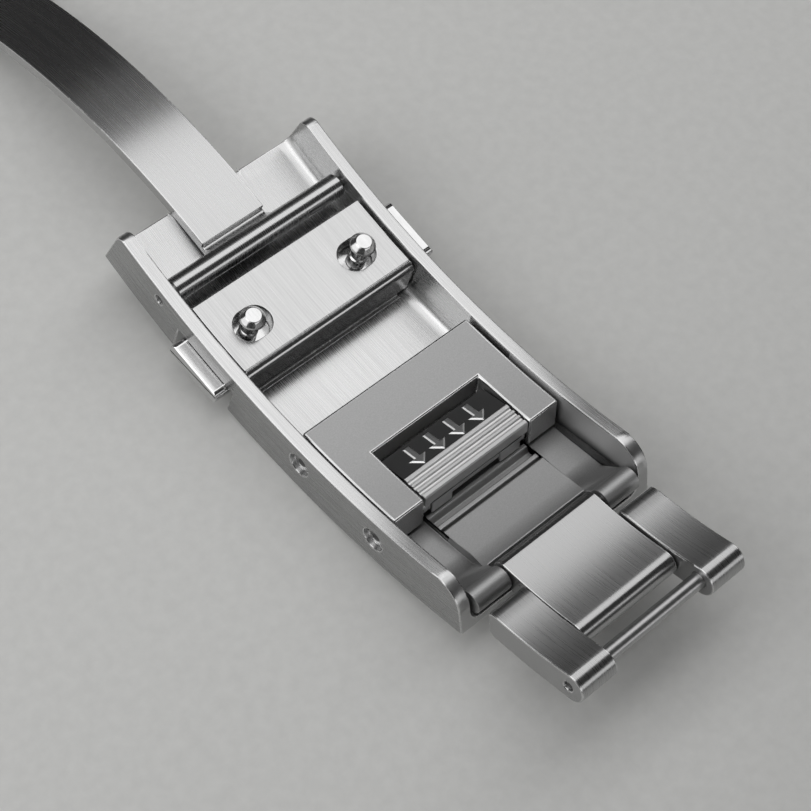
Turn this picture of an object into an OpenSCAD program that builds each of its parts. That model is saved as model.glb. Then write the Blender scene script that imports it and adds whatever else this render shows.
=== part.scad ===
/* [Cover] */
// Radius of the cover's outer face, which follows the wrist
cover_r = 70; // [55:1:90]
// Width of the cover over its side walls
cover_w = 20.7; // [20.2:0.1:22]
// Thickness of a side wall
wall_t = 1.15; // [0.9:0.05:1.3]
// Height of the side walls, from the outer face
wall_h = 5.15; // [4.9:0.05:6]
// Thickness of the floor between the walls
floor_t = 0.7; // [0.5:0.05:0.8]
// Radius of the fillet between floor and wall
floor_fillet = 1.1; // [0.5:0.1:1.3]
// Angle of the cover's end at the blade hinge
cover_b = 19.6; // [18.5:0.1:20.5]
// Angle of the cover's end at the bracelet link
cover_a = 16.8; // [16.4:0.1:17.5]
// Radius of the wall corner at the blade hinge
corner_b = 1; // [0.4:0.1:1.6]
// Radius of the wall corner at the bracelet link
corner_a = 2.6; // [1:0.1:2.8]
// Bevel along the cover's long edges
cover_bevel = 0.15; // [0.05:0.05:0.3]

/* [Blade hinge] */
// Angle of the blade hinge round the cover's centre
hinge_a = 14.4; // [14.2:0.1:15]
// Height of the blade hinge above the outer face
hinge_h = 3.65; // [3.4:0.05:3.8]
// Outer diameter of the blade's barrel
barrel_d = 2.1; // [1.8:0.1:2.3]
// Gap beside the blade's barrel, at each end when it is centred
barrel_gap = 0.2; // [0.15:0.05:0.5]
// How far the barrel's side play lets it stand to the left
barrel_shift = 0.05; // [0:0.05:0.1]
// Diameter of the pin through the barrel
hinge_pin_d = 0.85; // [0.6:0.05:1.1]
// How far the blade's strip stands to the left of the middle
blade_shift = 0.35; // [0:0.05:0.4]

/* [Blades] */
// Width of the blade that is hinged to the cover
blade_w = 6.6; // [5:0.1:6.8]
// Thickness of both blades
blade_t = 1.1; // [0.9:0.05:1.2]
// Radius of the blades' lower face, which bends more than the cover does
blade_r = 55.5; // [54:0.5:58]
// Angle at which the closed blades come closest to the cover
blade_low = 13.3; // [13:0.1:14]
// Height of the closed blades' lower face there, above the outer face
blade_h = 5.05; // [5:0.05:5.2]
// Gap under the joint between the blades when they lie open
fold_lift = 0.85; // [0.7:0.05:1]
// Depth of the step beside the barrel
neck_step = 0.5; // [0.3:0.05:0.6]
// Angle of the joint between the two blades when they are closed
fold_a = 17.6; // [16.5:0.1:18]
// Depth of that joint's middle in the blades, from their lower face
fold_in = 0.8; // [0.7:0.05:0.9]
// Outer diameter of that joint's knuckles
fold_d = 2.1; // [1.8:0.1:2.2]
// Diameter of the pin through those knuckles
fold_pin_d = 1; // [0.8:0.05:1.2]
// Width of the forked latch blade
fork_w = 17.2; // [16:0.1:18]
// Play of the hinge blade in the fork
fork_play = 0.15; // [0.1:0.05:0.2]
// Angle at which the fork's arms meet
fork_end = 15.8; // [15.6:0.1:16.5]
// Angle at which the latch blade bends towards its tube
bend_a = 18.4; // [18:0.1:19]
// Angle of the tube at the latch blade's end
tube_a = 21.6; // [21:0.1:23]
// Height of that tube above the outer face
tube_h = 3.2; // [2.8:0.1:3.6]
// Outer diameter of the tube
tube_d = 2.4; // [2.2:0.1:2.8]
// Length of the tube
tube_len = 10; // [8:0.5:12]
// Diameter of the spring bar in the tube
spring_bar_d = 1.5; // [1.3:0.1:1.6]

/* [Latch] */
// Angle of the housing's face beside the floor strip
housing_a1 = 5.8; // [5.5:0.1:6]
// Angle of the housing's face beside the barrel
housing_a2 = 12.4; // [12.1:0.1:12.5]
// Height of the housing's top above the outer face
housing_h = 4.65; // [4.4:0.05:4.7]
// Gap between the housing and each side wall
housing_gap = 0.25; // [0.15:0.05:0.45]
// Radius of the housing's rounded upper edge
housing_round = 0.7; // [0.3:0.1:1]
// Distance of each stud from the housing's end
stud_inset = 3; // [2.95:0.05:3.1]
// Angle of the studs
stud_a = 9.05; // [8.9:0.05:9.2]
// Height of a stud's top above the outer face
stud_h = 6.5; // [6.4:0.05:6.7]
// Diameter of a stud's flat top
stud_top_d = 1.35; // [1.1:0.05:1.5]
// Diameter of a stud's head
stud_head_d = 2.3; // [2.1:0.05:2.4]
// Diameter of a stud's neck
stud_neck_d = 1.2; // [1:0.05:1.25]
// Diameter of a stud's base
stud_base_d = 1.6; // [1.4:0.05:1.7]
// Width of the slots in the housing in which the studs move
stud_slot_w = 2.85; // [2.7:0.05:3]
// How far those slots run inwards from the studs
stud_slot_run = 0.65; // [0.6:0.05:0.8]
// Length of a pusher along the cover
pusher_len = 5.85; // [5.6:0.05:6]
// Radius of a pusher's rounded ends
pusher_round = 0.6; // [0.3:0.1:0.6]
// Height of a pusher's lower face above the outer face
pusher_h1 = 1.3; // [1.2:0.05:1.35]
// Height of a pusher's upper face above the outer face
pusher_h2 = 2.9; // [2.8:0.05:2.95]
// How far the left pusher stands out of its wall
left_out = 1.1; // [1:0.05:2.1]
// How far the right pusher stands out of its wall
right_out = 2.05; // [1:0.05:2.1]
// Travel of a pusher
push_travel = 0.55; // [0.4:0.05:0.6]
// Distance of a pusher's inner end from the middle
pusher_in = 3; // [2.8:0.1:3.6]
// Diameter of the spring between the pushers
push_spring_d = 1.1; // [1:0.1:1.2]
// Turns of that spring
push_spring_turns = 9; // [6:1:10]

/* [Adjuster] */
// Angle of the frame's edge beside the floor strip
frame_a1 = 0.25; // [0:0.05:0.5]
// Angle of the window's edge behind the button
frame_a2 = 4; // [3.9:0.05:4.1]
// Angle of the frame's two leg ends
frame_a3 = 9.3; // [9.2:0.05:9.5]
// Gap between the frame and each side wall
frame_gap = 0.25; // [0.15:0.05:0.4]
// Width of the window between the legs
window_w = 11.5; // [11.3:0.1:11.6]
// Height of the frame's top above the outer face
frame_h = 4.7; // [4.6:0.05:4.8]
// Height of the legs' lower face above the outer face
leg_h = 1.65; // [1.5:0.05:1.8]
// Angle of the pin through the frame
frame_pin_a = 0.95; // [0.9:0.05:1.1]
// Height of the pin through the frame
frame_pin_h = 3.05; // [2.9:0.05:3.2]
// Angle of the button's pin
button_pin_a = 8.45; // [8.3:0.05:8.5]
// Height of the button's pin
button_pin_h = 2.65; // [2.6:0.05:2.7]
// Diameter of both pins
cross_pin_d = 1.1; // [0.9:0.05:1.15]
// Diameter of the wall holes outside those pins
pin_hole_d = 2.1; // [1.6:0.1:2.4]
// Width of the button
button_w = 11.2; // [10.8:0.1:11.2]
// Angle of the button's rear edge
button_a1 = 4.65; // [4.6:0.05:4.8]
// Angle where the button's ribs begin
rib_a1 = 7.05; // [6.9:0.05:7.2]
// Angle of the button's front lip
button_a2 = 9.25; // [9.15:0.05:9.3]
// Height of the button's rear edge above the outer face
ramp_h = 4; // [3.9:0.05:4.1]
// Number of grooves between the ribs
rib_grooves = 3; // [1:1:4]
// How far the button tips
button_tip = 6; // [3:0.5:7]
// Width of the adjuster slide's rack
rack_w = 11; // [10.4:0.1:11.1]
// Height of the rack's top above the outer face
rack_h = 1.9; // [1.8:0.05:1.95]
// Height of the pad's top above the outer face
pad_h = 2.1; // [2.05:0.05:2.15]
// Angle where the pad begins
pad_a1 = 10.9; // [10.8:0.1:11]
// Angle where the pad ends
pad_a2 = 14.9; // [14.7:0.1:15]
// Angle of the rack's hidden end
rack_end = 1.8; // [1.7:0.1:2.5]
// Height of the slide's side wings above the outer face
wing_h = 1.3; // [1.15:0.05:1.4]
// Angle between the rack's hidden end and the slide's side wings
wing_step = 1.5; // [1:0.1:2]
// Gap between the slide's side wings and each side wall
wing_gap = 0.35; // [0.25:0.05:0.6]
// Number of teeth on the rack
rack_teeth = 6; // [3:1:7]
// Travel of the slide along the cover, in degrees
slide_travel = 6; // [3:0.5:6.5]

/* [Links] */
// Angle of the link hinge at the slide's end
link_a = 16.4; // [16.3:0.1:17]
// Height of the link hinge above the outer face
link_h = 2.3; // [2.2:0.05:2.4]
// Diameter of the slide's knuckles
knuckle_d = 2.1; // [1.9:0.1:2.2]
// Diameter of the pin through the link hinge
link_pin_d = 1; // [0.8:0.05:1.1]
// Width of the centre link
centre_w = 10.1; // [9:0.1:10.2]
// Thickness of the centre link
centre_t = 2.4; // [2.2:0.1:2.5]
// Length of the centre link between its end rounds
centre_len = 7.5; // [7:0.1:8]
// Slope of the centre link
centre_tilt = 12; // [8:0.5:15]
// Distance from the link hinge to the side links' pin
side_at = 6.4; // [5.5:0.1:6.6]
// Width over the side links
links_w = 17.8; // [17.4:0.1:17.9]
// Play between the centre link and a side link
link_play = 0.15; // [0.1:0.05:0.3]
// How far the links' side play lets them stand to the left
link_shift = 0.15; // [0:0.05:0.2]
// Thickness of the side links
side_t = 3; // [2.8:0.1:3.2]
// Distance from the side links' pin to their near edge
side_near = 4.1; // [3.6:0.1:4.2]
// Distance from the side links' pin to the bracelet bar
side_far = 4.35; // [4.2:0.05:5]
// Slope of the side links
side_tilt = 17; // [12:0.5:20]
// Diameter of the bracelet bar
bar_d = 1.35; // [1.3:0.05:1.7]
// How far the link pins stop short of the side links' outer faces
link_pin_inset = 1; // [0.8:0.1:1.5]

/* [Fits] */
// Radial play of a pin that turns
pin_play = 0.03; // [0.02:0.01:0.05]
// Radial play of a pin that is held
pin_hold = 0.01; // [0.01:0.01:0.02]
// Gap between pieces that slide past each other
slide_play = 0.1; // [0.05:0.01:0.15]
// Gap between a piece and the floor it is set on
seat_play = 0.02; // [0.01:0.01:0.05]

/* [Hidden] */
$fn = 48;

half_w = cover_w / 2;
inner_w = cover_w - 2 * wall_t;
half_in = inner_w / 2;
barrel_len = inner_w - 2 * barrel_gap;
housing_w = inner_w - 2 * housing_gap;
frame_w = inner_w - 2 * frame_gap;
wing_w = inner_w - 2 * wing_gap;
stud_x = housing_w / 2 - stud_inset;
// How far a cutter reaches past what it cuts
past = 1;
// Steps round a full turn of the wide arcs
arc_steps = 240;

// A point in the plane of the walls, from an angle round the cover's centre and a height on the cover
function on_arc(a, h) = [(cover_r - h) * sin(a), cover_r - (cover_r - h) * cos(a)];
// The same point after a turn round another point
function turned(p, c, deg) = [c[0] + (p[0] - c[0]) * cos(deg) - (p[1] - c[1]) * sin(deg),
    c[1] + (p[0] - c[0]) * sin(deg) + (p[1] - c[1]) * cos(deg)];
// A point at a distance and a downward slope behind another
function behind(p, d, slope) = [p[0] - d * cos(slope), p[1] + d * sin(slope)];

// The closed blades follow an arc of their own, whose centre lies nearer than the cover's
blade_off = cover_r - blade_h - blade_r;
blade_c = on_arc(blade_low, blade_h + blade_r);
// The angle round the blades' centre that belongs to one round the cover's centre, at a depth in the blade
function blade_turn(a, t) = a + asin(blade_off * sin(a - blade_low) / (blade_r - t));
// A point at a depth in the closed blades
function on_blade(a, t) = [blade_c[0] + (blade_r - t) * sin(blade_turn(a, t)),
    blade_c[1] - (blade_r - t) * cos(blade_turn(a, t))];
// Height of the closed blades' lower face above the cover's outer face
function blade_height(a) = cover_r - blade_off * cos(a - blade_low)
    - sqrt(blade_r * blade_r - pow(blade_off * sin(a - blade_low), 2));

hinge_p = on_arc(hinge_a, hinge_h);
fold_p = on_blade(-fold_a, fold_in);
fold_way = fold_p - hinge_p;
blade_open = atan2(fold_way[1], fold_way[0]) - asin((fold_lift + fold_d / 2 - hinge_p[1]) / norm(fold_way));
fold_open_p = turned(fold_p, hinge_p, -blade_open);
// The latch blade leans until its lower face stands on the table
lean = acos((blade_r - fold_open_p[1]) / (blade_r - fold_in)) + blade_turn(-fold_a, fold_in);
fold_turn = blade_open - lean;
tube_p = on_arc(tube_a, tube_h);
tube_open_p = turned(turned(tube_p, fold_p, fold_turn), hinge_p, -blade_open);
link_p = on_arc(-link_a, link_h);
side_p = behind(link_p, side_at, centre_tilt);
bar_p = behind(side_p, side_far, side_tilt);
side_end_r = side_t / 2;
// The origin is under the middle of the whole length
middle_y = (tube_open_p[0] + tube_d / 2 + bar_p[0] - side_end_r) / 2;

// Turns the drawn plane so that it is swept round the cover's centre, with heights read inwards
module sweep(a1, a2) {
    translate([0, 0, cover_r])
        rotate([0, 90, 0])
            rotate_extrude(angle = a2 - a1, start = a1, $fn = arc_steps)
                children();
}

// A rectangle for sweep, between two heights and two places across
module band(h1, h2, x1, x2) {
    translate([cover_r - h2, x1])
        square([h2 - h1, x2 - x1]);
}

// A band on both sides of the middle
module bands(h1, h2, x1, x2) {
    band(h1, h2, x1, x2);
    band(h1, h2, -x2, -x1);
}

// Turns the drawn plane round the blades' centre, between two angles round the cover's centre
module blade_sweep(a1, a2) {
    at(blade_c)
        rotate([0, 90, 0])
            rotate_extrude(angle = blade_turn(a2, 0) - blade_turn(a1, 0), start = blade_turn(a1, 0), $fn = arc_steps)
                children();
}

// A rectangle for blade_sweep, the whole thickness of a blade
module blade_band(x1, x2) {
    translate([blade_r - blade_t, x1])
        square([blade_t, x2 - x1]);
}

// Places its children at an angle and a height, standing on the arc
module seat(a, h) {
    translate([0, on_arc(a, h)[0], on_arc(a, h)[1]])
        rotate([a, 0, 0])
            children();
}

// Places its children at a point in the plane of the walls
module at(p) {
    translate([0, p[0], p[1]])
        children();
}

// Turns its children round a point in the plane of the walls
module turn(p, deg) {
    at(p)
        rotate([deg, 0, 0])
            at(-p)
                children();
}

// Extrudes a side outline across the clasp
module across(x1, x2) {
    translate([x1, 0, 0])
        rotate([90, 0, 90])
            linear_extrude(x2 - x1)
                children();
}

// A round bar across the clasp
module rod(x1, x2, d) {
    translate([x1, 0, 0])
        rotate([0, 90, 0])
            cylinder(d = d, h = x2 - x1);
}

// A round bar with its end edges broken
module soft_rod(x1, x2, d, c) {
    translate([x1, 0, 0])
        rotate([0, 90, 0])
            rotate_extrude()
                polygon([[0, 0], [d / 2 - c, 0], [d / 2, c], [d / 2, x2 - x1 - c], [d / 2 - c, x2 - x1],
                    [0, x2 - x1]]);
}

// What is cut off a corner to round it, the end facing forward or back
module corner_cut(a, h, r, way) {
    seat(a, h)
        across(-half_w - 1, half_w + 1)
            difference() {
                translate([way > 0 ? -r : -1, -r])
                    square([r + 1, r + 1]);
                translate([-way * r, -r])
                    circle(r);
            }
}

// The wire of a coil spring that stands on its first turn
module coil(d, wire, turns, length) {
    sides = 6;
    steps = 12;
    rings = turns * steps;
    rise = (length - wire) / rings;
    points = [for (i = [0:rings], s = [0:sides - 1])
        let (u = i * 360 / steps, v = s * 360 / sides, q = (d - wire) / 2 + wire / 2 * cos(v))
        [q * cos(u), q * sin(u), wire / 2 + i * rise + wire / 2 * sin(v)]];
    quads = [for (i = [0:rings - 1], s = [0:sides - 1])
        let (n = (s + 1) % sides)
        [i * sides + s, i * sides + n, (i + 1) * sides + n, (i + 1) * sides + s]];
    faces = [for (q = quads, k = [0:1]) k == 0 ? [q[0], q[2], q[1]] : [q[0], q[3], q[2]]];
    first = [for (s = [1:sides - 2]) [0, s, s + 1]];
    last = [for (s = [1:sides - 2]) [rings * sides, rings * sides + s + 1, rings * sides + s]];
    polyhedron(points, concat(faces, first, last));
}

// The cover: a curved channel, holed for the pins and slotted for the pushers
slot_len = pusher_len + 1.1;
slot_h = pusher_h2 + 0.12;
// How far the slots reach into the fillets inside the walls
slot_in = 0.3;
// Bevel on the floor's end under the open hinge blade
end_bevel_len = 0.5;
end_bevel_h = 0.15;

module cover_section() {
    difference() {
        polygon([[cover_r, cover_bevel - half_w], [cover_r, half_w - cover_bevel],
            [cover_r - cover_bevel, half_w], [cover_r - wall_h + cover_bevel, half_w],
            [cover_r - wall_h, half_w - cover_bevel], [cover_r - wall_h, cover_bevel - half_w],
            [cover_r - wall_h + cover_bevel, -half_w], [cover_r - cover_bevel, -half_w]]);
        band(floor_t + floor_fillet, wall_h + 1, -half_in, half_in);
        band(floor_t, wall_h, floor_fillet - half_in, half_in - floor_fillet);
        for (s = [-1, 1])
            translate([cover_r - floor_t - floor_fillet, s * (half_in - floor_fillet)])
                circle(floor_fillet);
    }
}

module clasp_cover() color("silver") {
    difference() {
        sweep(-cover_a, cover_b)
            cover_section();
        corner_cut(cover_b, wall_h, corner_b, 1);
        corner_cut(-cover_a, wall_h, corner_a, -1);
        seat(stud_a, 0)
            for (x = [-half_w - past, half_in - slot_in])
                translate([x, -slot_len / 2, -past])
                    cube([wall_t + slot_in + past, slot_len, slot_h + past]);
        seat(cover_b, floor_t)
            across(-fork_in, fork_in)
                polygon([[-end_bevel_len, 0], [past, -end_bevel_h * (1 + past / end_bevel_len)], [past, past],
                    [-end_bevel_len, past]]);
        at(hinge_p)
            rod(-half_w - 1, half_w + 1, hinge_pin_d + 2 * pin_hold);
        for (q = [[-frame_pin_a, frame_pin_h], [-button_pin_a, button_pin_h]])
            at(on_arc(q[0], q[1])) {
                rod(-half_w - 1, half_w + 1, cross_pin_d + 2 * pin_hold);
                rod(-half_w - 1, pin_sink - half_w, pin_hole_d);
                rod(half_w - pin_sink, half_w + 1, pin_hole_d);
            }
    }
}

// Depth of the wide mouths over the cross pins
pin_sink = 0.55;
// How far the hinge pin's ends lie inside the walls
pin_short = 0.2;

module cover_hinge_pin() color("gainsboro") {
    at(hinge_p)
        soft_rod(pin_short - half_w, half_w - pin_short, hinge_pin_d, 0.08);
}

// The hinge blade, drawn closed over the housing and turned open round its barrel
module opened() {
    turn(hinge_p, -blade_open)
        children();
}

module opened_twice() {
    opened()
        turn(fold_p, fold_turn)
            children();
}

barrel_soft = 0.2;
neck_a = housing_a2 + 0.1;
// How far joined pieces of one solid run into each other, in degrees
lap_a = 0.3;

module hinge_blade() color("lightgray") {
    opened()
        difference() {
            union() {
                translate([-blade_shift, 0, 0]) {
                    blade_sweep(-fold_a, neck_a)
                        blade_band(-blade_w / 2, blade_w / 2);
                    across(-blade_w / 2, blade_w / 2)
                        polygon([on_blade(neck_a - lap_a, neck_step), on_blade(neck_a - lap_a, blade_t),
                            on_blade(hinge_a - 0.4, blade_t), on_arc(hinge_a + 0.5, hinge_h + barrel_d * 0.42),
                            hinge_p, on_arc(hinge_a - 0.75, hinge_h), on_blade(neck_a + 0.35, neck_step)]);
                    at(fold_p)
                        rod(-blade_w / 2, blade_w / 2, fold_d);
                }
                at(hinge_p)
                    soft_rod(-barrel_len / 2 - barrel_shift, barrel_len / 2 - barrel_shift, barrel_d, barrel_soft);
            }
            at(hinge_p)
                rod(-half_w, half_w, hinge_pin_d + 2 * pin_play);
            at(fold_p)
                rod(-half_w, half_w, fold_pin_d + 2 * pin_play);
        }
}

fork_in = blade_w / 2 + blade_shift + fork_play;
fold_pin_len = fork_w - 1;

module fold_pin() color("gainsboro") {
    opened()
        at(fold_p)
            soft_rod(-fold_pin_len / 2, fold_pin_len / 2, fold_pin_d, 0.1);
}

// The lip that each stud's head holds is what stays of the blade under the pocket
lip_t = 0.5;
catch_x = stud_x - push_travel;
catch_d = stud_head_d + 0.14;
bore_play = 0.05;

module stud_pocket() {
    seat(stud_a, blade_height(stud_a)) {
        translate([catch_x, 0, -past])
            cylinder(d = catch_d, h = blade_t + 2 * past);
        for (x = [catch_x, stud_x + bore_play])
            translate([x, 0, lip_t])
                cylinder(d = catch_d, h = blade_t + past);
        translate([catch_x, -catch_d / 2, lip_t])
            cube([push_travel + bore_play, catch_d, blade_t + past]);
    }
}

// Where the bend that carries the tube leaves the blade and where it meets the tube
bend_top_a = 1.3;
bend_foot_a = 1;
bend_sink = 0.15;
curl_top_a = 0.8;
curl_foot_a = 0.95;
curl_rise = 0.3;

module latch_blade() color("silver") {
    opened_twice()
        difference() {
            union() {
                blade_sweep(-fold_a, fork_end + lap_a) {
                    blade_band(fork_in, fork_w / 2);
                    blade_band(-fork_w / 2, -fork_in);
                }
                blade_sweep(fork_end, bend_a)
                    blade_band(-fork_w / 2, fork_w / 2);
                across(-tube_len / 2, tube_len / 2)
                    polygon([on_blade(bend_a - lap_a, 0), on_blade(bend_a - lap_a, blade_t),
                        on_blade(bend_a + bend_top_a, blade_t - bend_sink),
                        on_arc(tube_a + curl_top_a, tube_h + tube_d * curl_rise), tube_p,
                        on_arc(tube_a - curl_foot_a, tube_h), on_blade(bend_a + bend_foot_a, -bend_sink)]);
                at(tube_p)
                    soft_rod(-tube_len / 2, tube_len / 2, tube_d, 0.15);
                at(fold_p) {
                    rod(fork_in, fork_w / 2, fold_d);
                    rod(-fork_w / 2, -fork_in, fold_d);
                }
            }
            stud_pocket();
            mirror([1, 0, 0])
                stud_pocket();
            at(fold_p)
                rod(-fold_pin_len / 2 - pin_play, fold_pin_len / 2 + pin_play, fold_pin_d + 2 * pin_play);
            at(tube_p)
                rod(-half_w, half_w, spring_bar_d + 2 * pin_hold);
        }
}

bar_tip_d = spring_bar_d - 0.6;
bar_tip = 1.2;

module blade_spring_bar() color("gainsboro") {
    opened_twice()
        at(tube_p) {
            rod(-tube_len / 2, tube_len / 2, spring_bar_d);
            soft_rod(-tube_len / 2 - bar_tip, tube_len / 2 + bar_tip, bar_tip_d, 0.1);
        }
}

// The latch housing, with a channel for the pushers and a slot round each stud
module stud_slot() {
    seat(stud_a, pusher_h1) {
        for (x = [stud_x - stud_slot_run, stud_x])
            translate([x, 0, 0])
                cylinder(d = stud_slot_w, h = housing_h);
        translate([stud_x - stud_slot_run, -stud_slot_w / 2, 0])
            cube([stud_slot_run, stud_slot_w, housing_h]);
    }
}

foot_t = 0.3;
foot_out = 0.35;

module latch_housing() color("silver") {
    difference() {
        union() {
            sweep(housing_a1, housing_a2)
                band(floor_t + floor_fillet * 0.35, housing_h, -housing_w / 2, housing_w / 2);
            sweep(housing_a1 - foot_out, housing_a2)
                band(floor_t + seat_play, floor_t + foot_t, floor_fillet - housing_w / 2,
                    housing_w / 2 - floor_fillet);
            sweep(housing_a1, housing_a2)
                band(floor_t + seat_play, floor_t + floor_fillet, floor_fillet - housing_w / 2,
                    housing_w / 2 - floor_fillet);
        }
        corner_cut(housing_a1, housing_h, housing_round, -1);
        seat(stud_a, 0)
            across(-half_w, half_w)
                pusher_outline(slide_play);
        stud_slot();
        mirror([1, 0, 0])
            stud_slot();
    }
}

// Bevel round a pusher's outer face
pusher_bevel = 0.12;
spring_seat = 0.6;
spring_play = 0.05;

// A pusher's section, which rounds off at both ends
module pusher_outline(grow) {
    reach = pusher_len / 2 + grow;
    low = pusher_h1 - grow;
    high = pusher_h2 + grow;
    r = pusher_round + grow;
    for (y = [r - reach, reach - r], z = [low + r, high - r])
        translate([y, z])
            circle(r);
    translate([r - reach, low])
        square([2 * (reach - r), high - low]);
    translate([-reach, low + r])
        square([2 * reach, high - low - 2 * r]);
}

// A pusher: a bar that the finger meets at one end and that carries the stud at the other
module pusher(out) {
    outer = half_w + out;
    difference() {
        seat(stud_a, 0)
            intersection() {
                across(pusher_in, outer + past)
                    pusher_outline(0);
                rotate([90, 0, 0])
                    linear_extrude(pusher_len + 2 * past, center = true)
                        polygon([[pusher_in - past, pusher_h1 - past],
                            [outer - pusher_bevel - past, pusher_h1 - past], [outer, pusher_h1 + pusher_bevel],
                            [outer, pusher_h2 - pusher_bevel], [outer - pusher_bevel - past, pusher_h2 + past],
                            [pusher_in - past, pusher_h2 + past]]);
            }
        seat(stud_a, pusher_h1 - past)
            translate([stud_x, 0, 0])
                cylinder(d = stud_base_d + 2 * pin_hold, h = pusher_h2 - pusher_h1 + 2 * past);
        seat(stud_a, (pusher_h1 + pusher_h2) / 2)
            rod(pusher_in - past, pusher_in + spring_seat, push_spring_d + 2 * spring_play);
    }
}

module right_pusher() color("gainsboro") pusher(right_out);

module left_pusher() color("gainsboro")
    mirror([1, 0, 0])
        pusher(left_out);

// A stud: base, neck and a head that is coned both ways
head_h = 0.6;
under_h = 0.25;
base_top = housing_h - 0.6;

module stud() {
    seat(stud_a, 0)
        translate([stud_x, 0, 0])
            rotate_extrude()
                polygon([[0, pusher_h1 + 0.05], [stud_base_d / 2, pusher_h1 + 0.05],
                    [stud_base_d / 2, base_top], [stud_neck_d / 2, base_top + 0.15],
                    [stud_neck_d / 2, stud_h - head_h - under_h], [stud_head_d / 2, stud_h - head_h],
                    [stud_top_d / 2, stud_h], [0, stud_h]]);
}

module right_stud() color("whitesmoke") stud();

module left_stud() color("whitesmoke")
    mirror([1, 0, 0])
        stud();

push_spring_wire = 0.2;
push_spring_len = 2 * (pusher_in + spring_seat);

module pusher_spring() color("darkgray") {
    seat(stud_a, (pusher_h1 + pusher_h2) / 2)
        translate([-push_spring_len / 2, 0, 0])
            rotate([0, 90, 0])
                coil(push_spring_d, push_spring_wire, push_spring_turns, push_spring_len);
}

// The adjuster frame: a crossbar that stands on the floor and two legs beside the button
tunnel_h = rack_h + 0.12;
leg_bevel = 0.12;
shelf_h = 0.35;
shelf_a = 5.5;

module frame_outline(x1, x2) {
    polygon([[cover_r - tunnel_h, x1], [cover_r - frame_h, x1], [cover_r - frame_h, x2 - leg_bevel],
        [cover_r - frame_h + leg_bevel, x2], [cover_r - leg_h, x2], [cover_r - leg_h, x1]]);
}

module adjuster_frame() color("darkgray") {
    difference() {
        union() {
            sweep(-frame_a3, frame_a1)
                bands(leg_h, frame_h, window_w / 2, frame_w / 2);
            sweep(-frame_a2, frame_a1)
                band(tunnel_h, frame_h, -window_w / 2, window_w / 2);
            sweep(-rack_end + 0.3, frame_a1)
                band(floor_t + seat_play, frame_h, floor_fillet - frame_w / 2, frame_w / 2 - floor_fillet);
            sweep(-shelf_a, -frame_a2)
                band(tunnel_h, tunnel_h + shelf_h, -window_w / 2, window_w / 2);
        }
        at(on_arc(-frame_pin_a, frame_pin_h))
            rod(-half_w, half_w, cross_pin_d + 2 * pin_hold);
        at(on_arc(-button_pin_a, button_pin_h))
            rod(-half_w, half_w, cross_pin_d + 2 * pin_hold);
    }
}

cross_pin_end = half_w - 0.35;

module frame_pin() color("gainsboro") {
    at(on_arc(-frame_pin_a, frame_pin_h))
        soft_rod(-cross_pin_end, cross_pin_end, cross_pin_d, 0.15);
}

module button_pin() color("gainsboro") {
    at(on_arc(-button_pin_a, button_pin_h))
        soft_rod(-cross_pin_end, cross_pin_end, cross_pin_d, 0.15);
}

// The release button: a ramp to press, ribs for the thumb, and a lip whose feet reach for the rack
button_t = 0.75;
button_top = frame_h - 0.02;
foot_w = 2.2;
notch_w = 5.3;
lip_h = 3.5;
foot_end = rack_h + 0.15;
boss_d = 2;
rib_depth = 0.15;
rib_first = 0.22;
rib_last = 0.3;
rib_pitch = (button_a2 - rib_a1 - rib_first - rib_last) / rib_grooves;

module release_button() color("dimgray") {
    difference() {
        union() {
            across(-button_w / 2, button_w / 2)
                polygon([on_arc(-button_a1, ramp_h), on_arc(-button_a1, ramp_h - button_t),
                    on_arc(-rib_a1, ramp_h - button_t), on_arc(-button_a2 + 0.75, lip_h),
                    on_arc(-button_a2, lip_h), on_arc(-button_a2, button_top - 0.1),
                    on_arc(-button_a2 + 0.1, button_top), on_arc(-rib_a1, button_top),
                    on_arc(-rib_a1 + 0.06, button_top - 0.14)]);
            at(on_arc(-button_pin_a, button_pin_h))
                rod(-button_w / 2, button_w / 2, boss_d - 0.6);
            across(-button_w / 2, button_w / 2)
                polygon([on_arc(-button_pin_a + 0.55, button_pin_h), on_arc(-button_pin_a - 0.4, button_pin_h),
                    on_arc(-button_pin_a - 0.4, lip_h + 0.1), on_arc(-button_pin_a + 0.55, lip_h + 0.1)]);
            for (s = [-1, 1])
                translate([s * (notch_w + foot_w) / 2, 0, 0])
                    across(-foot_w / 2, foot_w / 2)
                        polygon([on_arc(-button_a2 + 0.55, lip_h + 0.1), on_arc(-button_a2 + 0.02, lip_h + 0.1),
                            on_arc(-button_a2 + 0.02, foot_end), on_arc(-button_a2 + 0.3, foot_end)]);
        }
        at(on_arc(-button_pin_a, button_pin_h))
            rod(-half_w, half_w, cross_pin_d + 2 * pin_play);
        for (i = [0:rib_grooves - 1])
            seat(-rib_a1 - rib_first - (i + 0.5) * rib_pitch, button_top)
                across(-half_w, half_w)
                    polygon([[-0.36 * rib_pitch, 0.1], [-0.27 * rib_pitch, -rib_depth],
                        [0.27 * rib_pitch, -rib_depth], [0.36 * rib_pitch, 0.1]]);
    }
}

// A bent leaf that lies on the frame's shelf and lifts the button's rear edge
leaf_t = 0.12;
leaf_w = 6;

module button_spring() color("gray") {
    bottom = tunnel_h + shelf_h + 0.01;
    top = ramp_h - button_t - 0.02;
    across(-leaf_w / 2, leaf_w / 2)
        polygon([on_arc(-frame_a2 - 0.1, bottom), on_arc(0.1 - shelf_a, bottom),
            on_arc(-shelf_a, bottom + 0.1), on_arc(-button_a1 - 0.15, top), on_arc(-button_a1 - 0.03, top - 0.08),
            on_arc(0.18 - shelf_a, bottom + leaf_t + 0.02), on_arc(-frame_a2 - 0.1, bottom + leaf_t)]);
}

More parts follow.
